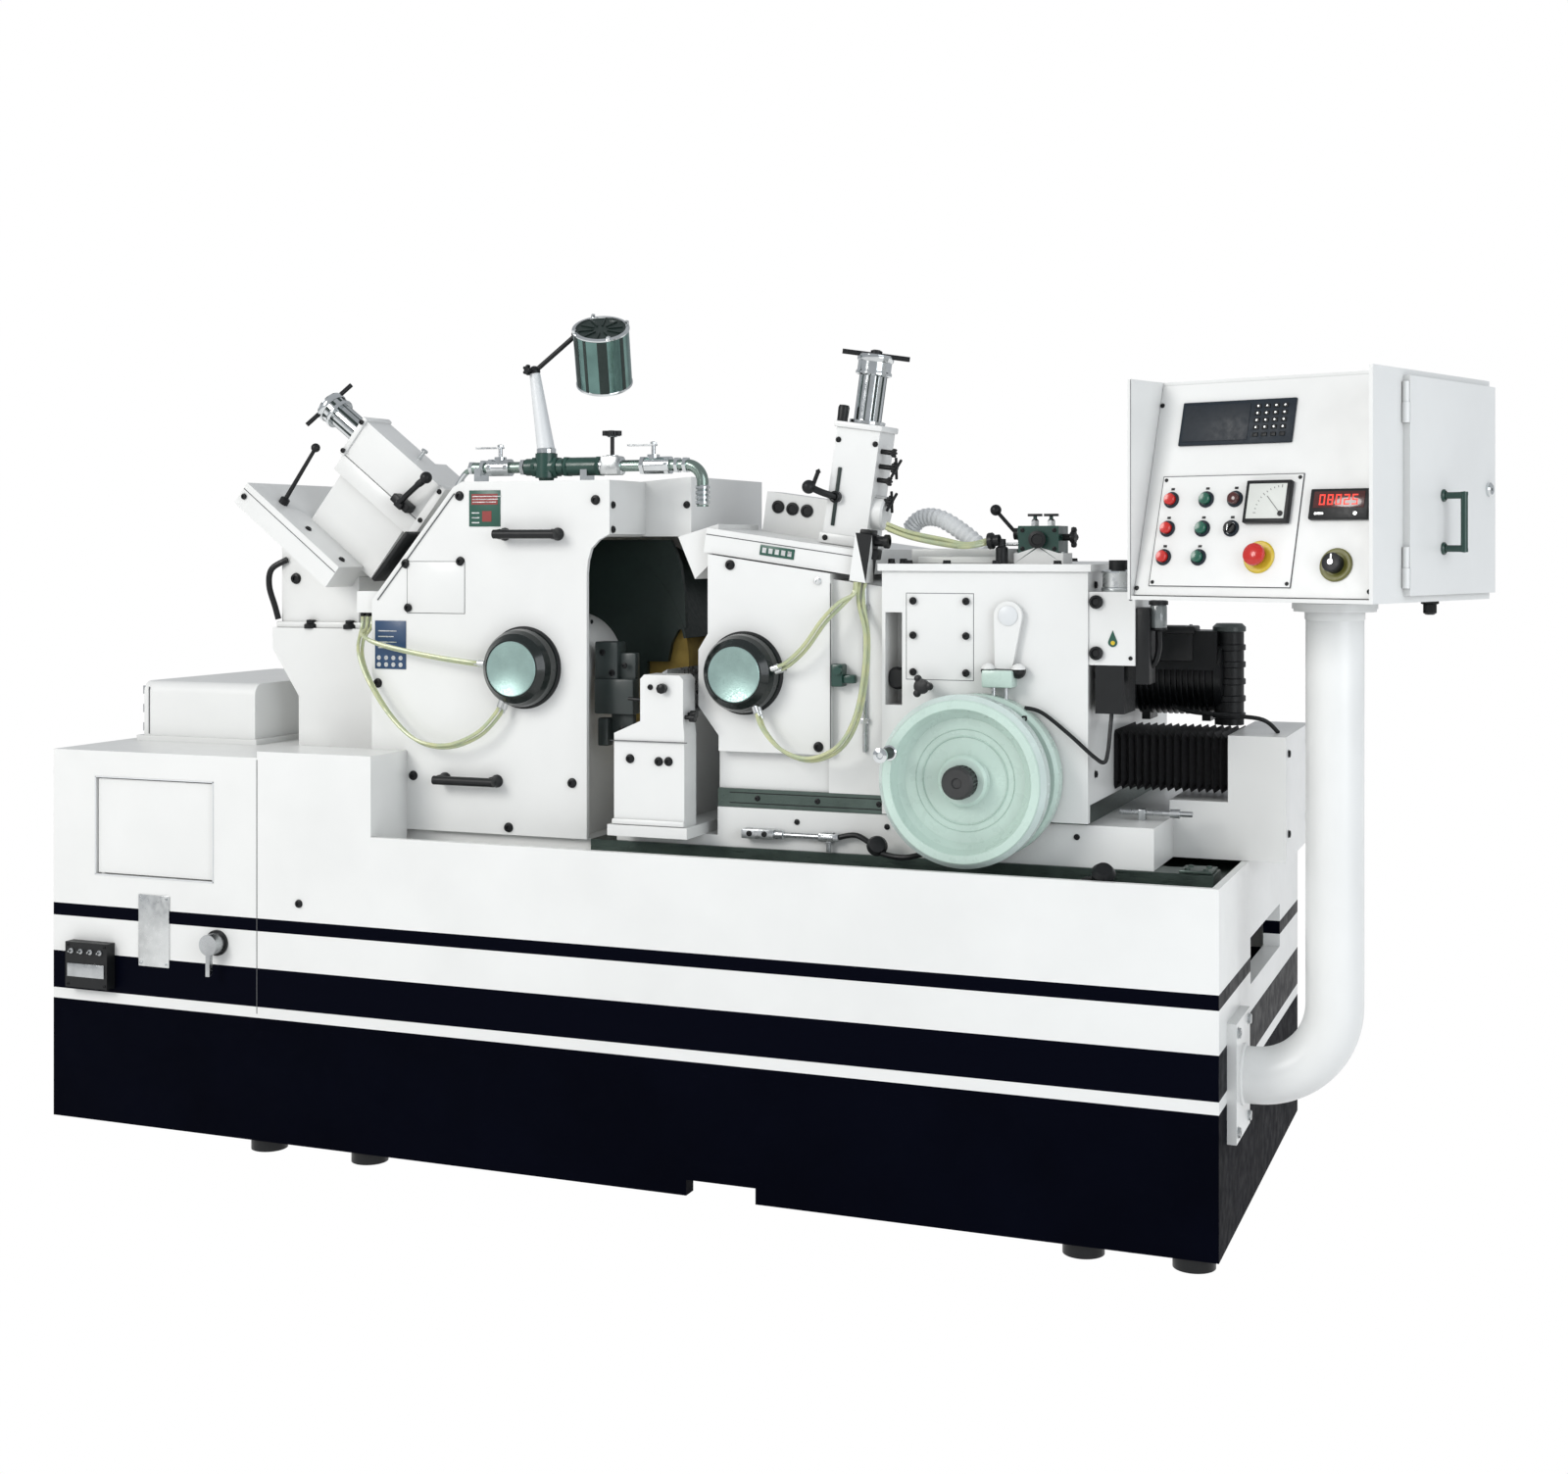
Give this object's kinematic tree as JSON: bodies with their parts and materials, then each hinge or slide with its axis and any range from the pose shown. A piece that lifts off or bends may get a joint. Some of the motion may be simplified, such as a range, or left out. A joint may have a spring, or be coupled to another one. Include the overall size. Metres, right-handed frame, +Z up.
{
  "type": "centerless grinder",
  "caption": "Centerless grinding machine with guarded grinding wheel, regulating wheel on an infeed slide, wheel dressers, coolant line, lamp and swivelling control pendant.",
  "frame": {"origin": "On the floor under the middle of the base, at the centre of the anchor bolt pattern", "axes": "+X right as the operator sees it, +Y to the back, +Z up; the operator stands on the -Y side"},
  "size_m": [3.5218, 1.3618, 2.0655],
  "materials": {
    "bellows_rubber": "matt",
    "black_paint": "satin paint",
    "black_plastic": "moulded",
    "black_steel": "black oxide",
    "cap_dark": "gloss paint and turned disc",
    "chrome": "polished",
    "dark_iron": "scraped and oiled",
    "green_plastic": "moulded",
    "grey_white_paint": "semi-gloss paint",
    "hose": "clear yellow hose",
    "mint_paint": "turned and painted",
    "pipe": "galvanised",
    "red_plastic": "moulded",
    "rubber_bond": "rubber-bonded abrasive",
    "steel": "turned",
    "valve_green": "paint",
    "wheel_stone": "open grain",
    "white_paint": "semi-gloss paint"
  },
  "bodies": {
    "machine": {"base_tank": "black_paint", "base_frame": "white_paint", "levelling_feet": "black_steel", "left_cabinet": "white_paint", "cabinet_box": "grey_white_paint", "switch_box": "black_steel", "wheelhead": "grey_white_paint", "guard_shell": "white_paint", "guard_cover": "white_paint", "guard_handles": "black_steel", "grinding_cap": "cap_dark", "grinding_hoses": "hose", "belt_guard": "grey_white_paint", "coolant_line": "pipe", "left_dresser_base": "grey_white_paint", "bed_ways": "dark_iron", "pendant_arm": "white_paint"},
    "cabinet_door": {"cabinet_door": "grey_white_paint"},
    "isolator": {"isolator_lever": "black_steel"},
    "grinding_rotor": {"grinding_wheel": "wheel_stone", "grinding_spindle": "steel"},
    "valve_left": {"valve_lever_left": "pipe"},
    "valve_right": {"valve_lever_right": "pipe"},
    "line_knob": {"valve_knob": "black_steel"},
    "lamp_arm": {"lamp_arm": "grey_white_paint"},
    "lamp_head": {"lamp_head": "chrome"},
    "left_dresser": {"left_dresser_body": "white_paint"},
    "left_quill": {"left_dresser_quill": "chrome"},
    "lower_slide": {"lower_slide": "grey_white_paint", "workrest": "white_paint", "work_blade": "steel", "bellows": "bellows_rubber"},
    "upper_slide": {"slide_way": "dark_iron", "slide_box": "white_paint", "hydraulic_valve": "valve_green", "lube_unit": "white_paint", "feed_motor": "black_steel", "regulating_housing": "white_paint", "regulating_cap": "cap_dark", "regulating_hoses": "hose", "right_dresser_base": "grey_white_paint"},
    "regulating_rotor": {"regulating_wheel": "rubber_bond", "regulating_spindle": "steel"},
    "infeed_lever": {"infeed_lever": "white_paint"},
    "handwheel": {"handwheel": "mint_paint"},
    "hydraulic_lever": {"hydraulic_lever": "black_steel"},
    "right_dresser": {"right_dresser_body": "white_paint"},
    "right_quill": {"right_dresser_quill": "chrome"},
    "pendant": {"pendant_box": "white_paint", "pendant_panel": "white_paint"},
    "pendant_door": {"pendant_door": "white_paint"},
    "selector": {"selector_switch": "black_plastic"},
    "emergency_stop": {"emergency_stop": "red_plastic"},
    "speed_knob": {"speed_knob": "black_plastic"},
    "red_button_1": {"red_button_1": "red_plastic"},
    "red_button_2": {"red_button_2": "red_plastic"},
    "red_button_3": {"red_button_3": "red_plastic"},
    "green_button_1": {"green_button_1": "green_plastic"},
    "green_button_2": {"green_button_2": "green_plastic"},
    "green_button_3": {"green_button_3": "green_plastic"}
  },
  "joints": [
    {"name": "cabinet_door_hinge", "type": "hinge", "parent": "machine", "child": "cabinet_door", "pos_m": [-1.349, -0.6, 0.788], "axis": [0, 0, -1], "range_deg": [0, 110]},
    {"name": "isolator_turn", "type": "hinge", "parent": "machine", "child": "isolator", "pos_m": [-0.986, -0.63, 0.513], "axis": [0, 1, 0], "range_deg": [0, 90]},
    {"name": "grinding_spin", "type": "hinge", "parent": "machine", "child": "grinding_rotor", "pos_m": [-0.206, 0, 1.21], "axis": [0, 1, 0], "continuous": true},
    {"name": "left_valve_turn", "type": "hinge", "parent": "machine", "child": "valve_left", "pos_m": [-0.3, -0.4, 1.745], "axis": [0, 0, 1], "range_deg": [0, 90]},
    {"name": "right_valve_turn", "type": "hinge", "parent": "machine", "child": "valve_right", "pos_m": [0.118, -0.4, 1.745], "axis": [0, 0, 1], "range_deg": [0, 90]},
    {"name": "line_knob_turn", "type": "hinge", "parent": "machine", "child": "line_knob", "pos_m": [0.008, -0.4, 1.745], "axis": [0, 0, 1], "range_deg": [0, 1080]},
    {"name": "lamp_swing", "type": "hinge", "parent": "machine", "child": "lamp_arm", "pos_m": [-0.172, -0.4, 1.75], "axis": [0, 0, 1], "range_deg": [-150, 150]},
    {"name": "lamp_tilt", "type": "hinge", "parent": "lamp_arm", "child": "lamp_head", "pos_m": [-0.1, -0.38, 2.024], "axis": [0, 1, 0], "range_deg": [-25, 35]},
    {"name": "left_dresser_traverse", "type": "slide", "parent": "machine", "child": "left_dresser", "axis": [0, 1, 0], "range_m": [0, 0.4]},
    {"name": "left_quill_feed", "type": "slide", "parent": "left_dresser", "child": "left_quill", "axis": [0.788, 0, -0.6157], "range_m": [0, 0.04]},
    {"name": "lower_slide_travel", "type": "slide", "parent": "machine", "child": "lower_slide", "axis": [1, 0, 0], "range_m": [-0.03, 0.03]},
    {"name": "upper_slide_travel", "type": "slide", "parent": "lower_slide", "child": "upper_slide", "axis": [1, 0, 0], "range_m": [-0.012, 0.036], "deforming": ["bellows"]},
    {"name": "regulating_spin", "type": "hinge", "parent": "upper_slide", "child": "regulating_rotor", "pos_m": [0.376, 0, 1.21], "axis": [0, 1, 0], "continuous": true},
    {"name": "infeed_lever_swing", "type": "hinge", "parent": "upper_slide", "child": "infeed_lever", "pos_m": [1.013, -0.46, 1.352], "axis": [0, 1, 0], "range_deg": [-35, 35]},
    {"name": "handwheel_turn", "type": "hinge", "parent": "upper_slide", "child": "handwheel", "pos_m": [0.935, -0.55, 0.992], "axis": [0, 1, 0], "range_deg": [-220, 655]},
    {"name": "hydraulic_lever_tilt", "type": "hinge", "parent": "upper_slide", "child": "hydraulic_lever", "pos_m": [0.985, -0.285, 1.534], "axis": [1, 0, 0], "range_deg": [-30, 30]},
    {"name": "right_dresser_traverse", "type": "slide", "parent": "upper_slide", "child": "right_dresser", "axis": [0, 1, 0], "range_m": [0, 0.42]},
    {"name": "right_quill_feed", "type": "slide", "parent": "right_dresser", "child": "right_quill", "axis": [-0.1392, 0, -0.9903], "range_m": [0, 0.04]},
    {"name": "pendant_swivel", "type": "hinge", "parent": "machine", "child": "pendant", "pos_m": [1.71, -0.42, 1.38], "axis": [0, 0, 1], "range_deg": [-8, 25]},
    {"name": "pendant_door_hinge", "type": "hinge", "parent": "pendant", "child": "pendant_door", "pos_m": [1.86979, -0.62714, 1.626], "axis": [0, 0, -1], "range_deg": [0, 110]},
    {"name": "red_button_1_press", "type": "slide", "parent": "pendant", "child": "red_button_1", "axis": [0.3304, 0.9077, -0.2588], "range_m": [0, 0.004], "stiffness_N_per_m": 400, "springref_m": -0.001},
    {"name": "red_button_2_press", "type": "slide", "parent": "pendant", "child": "red_button_2", "axis": [0.3304, 0.9077, -0.2588], "range_m": [0, 0.004], "stiffness_N_per_m": 400, "springref_m": -0.001},
    {"name": "red_button_3_press", "type": "slide", "parent": "pendant", "child": "red_button_3", "axis": [0.3304, 0.9077, -0.2588], "range_m": [0, 0.004], "stiffness_N_per_m": 400, "springref_m": -0.001},
    {"name": "green_button_1_press", "type": "slide", "parent": "pendant", "child": "green_button_1", "axis": [0.3304, 0.9077, -0.2588], "range_m": [0, 0.004], "stiffness_N_per_m": 400, "springref_m": -0.001},
    {"name": "green_button_2_press", "type": "slide", "parent": "pendant", "child": "green_button_2", "axis": [0.3304, 0.9077, -0.2588], "range_m": [0, 0.004], "stiffness_N_per_m": 400, "springref_m": -0.001},
    {"name": "green_button_3_press", "type": "slide", "parent": "pendant", "child": "green_button_3", "axis": [0.3304, 0.9077, -0.2588], "range_m": [0, 0.004], "stiffness_N_per_m": 400, "springref_m": -0.001},
    {"name": "selector_turn", "type": "hinge", "parent": "pendant", "child": "selector", "pos_m": [1.52246, -0.59027, 1.54175], "axis": [-0.3304, -0.9077, 0.2588], "range_deg": [-45, 45]},
    {"name": "emergency_stop_press", "type": "slide", "parent": "pendant", "child": "emergency_stop", "axis": [0.3304, 0.9077, -0.2588], "range_m": [0, 0.006], "stiffness_N_per_m": 600, "springref_m": -0.001},
    {"name": "speed_knob_turn", "type": "hinge", "parent": "pendant", "child": "speed_knob", "pos_m": [1.74313, -0.69152, 1.46834], "axis": [-0.3304, -0.9077, 0.2588], "range_deg": [-140, 140]}
  ],
  "couplings": [
    {"joint": "handwheel_turn", "follows": "upper_slide_travel", "rad_per_m": 314.16}
  ]
}
